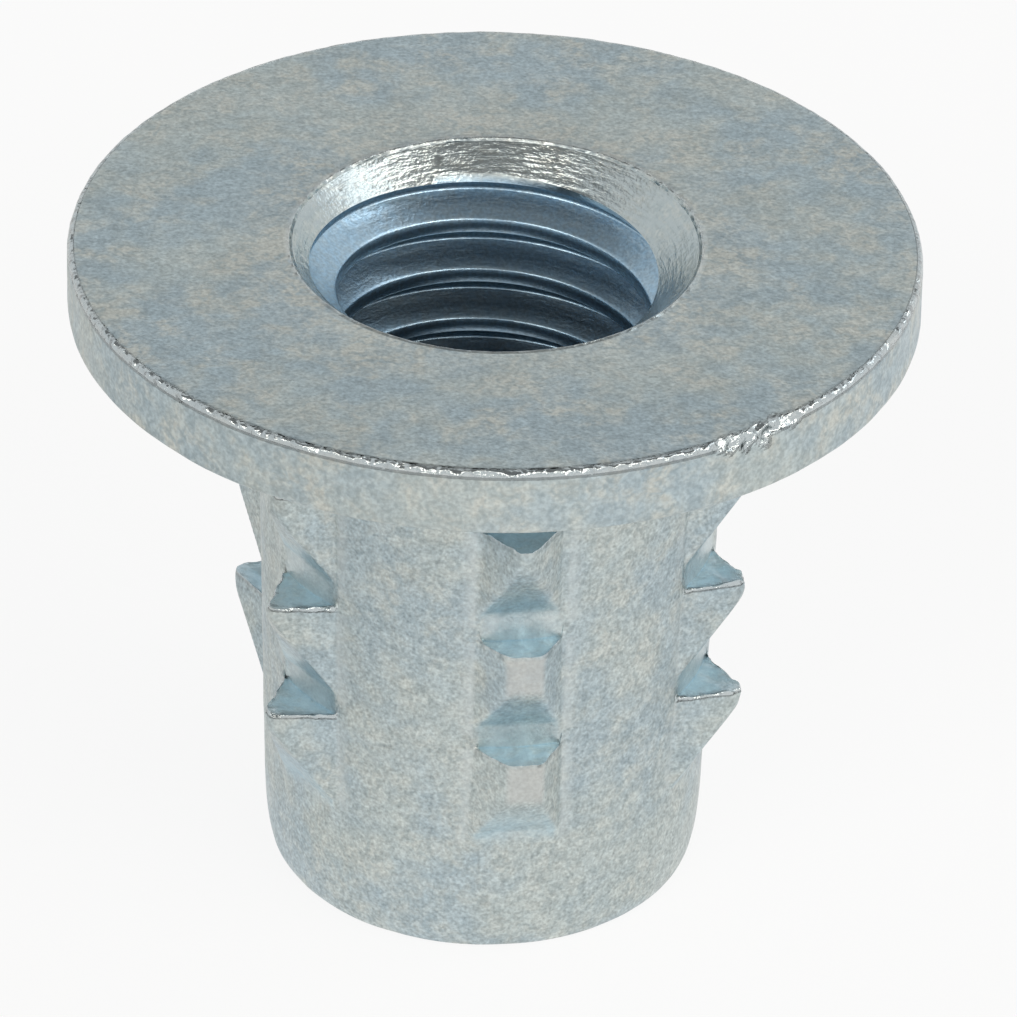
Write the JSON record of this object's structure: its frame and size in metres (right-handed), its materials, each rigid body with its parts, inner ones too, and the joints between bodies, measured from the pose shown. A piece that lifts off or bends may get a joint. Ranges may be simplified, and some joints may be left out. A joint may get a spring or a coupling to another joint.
{
  "type": "threaded wood insert",
  "caption": "Hammer-in threaded insert for wood: round flat flange, tapered shank with rows of pointed barbs, and a countersunk through bore with an internal metric thread.",
  "frame": {"origin": "centre of the lower end face, which the insert stands on", "axes": "+Z along the bore's axis, from the shank's lower end towards the flange; a column of barbs lies 8.7 degrees from -Y towards +X"},
  "size_m": [0.0181, 0.018, 0.015],
  "materials": {
    "zinc_plated_steel": "blue-white zinc plating on cold-formed steel: satin, finely grained and mottled grey-blue and warm grey, with a smoother, darker bore"
  },
  "bodies": {
    "root": {"threaded_insert": "zinc_plated_steel"}
  },
  "joints": []
}
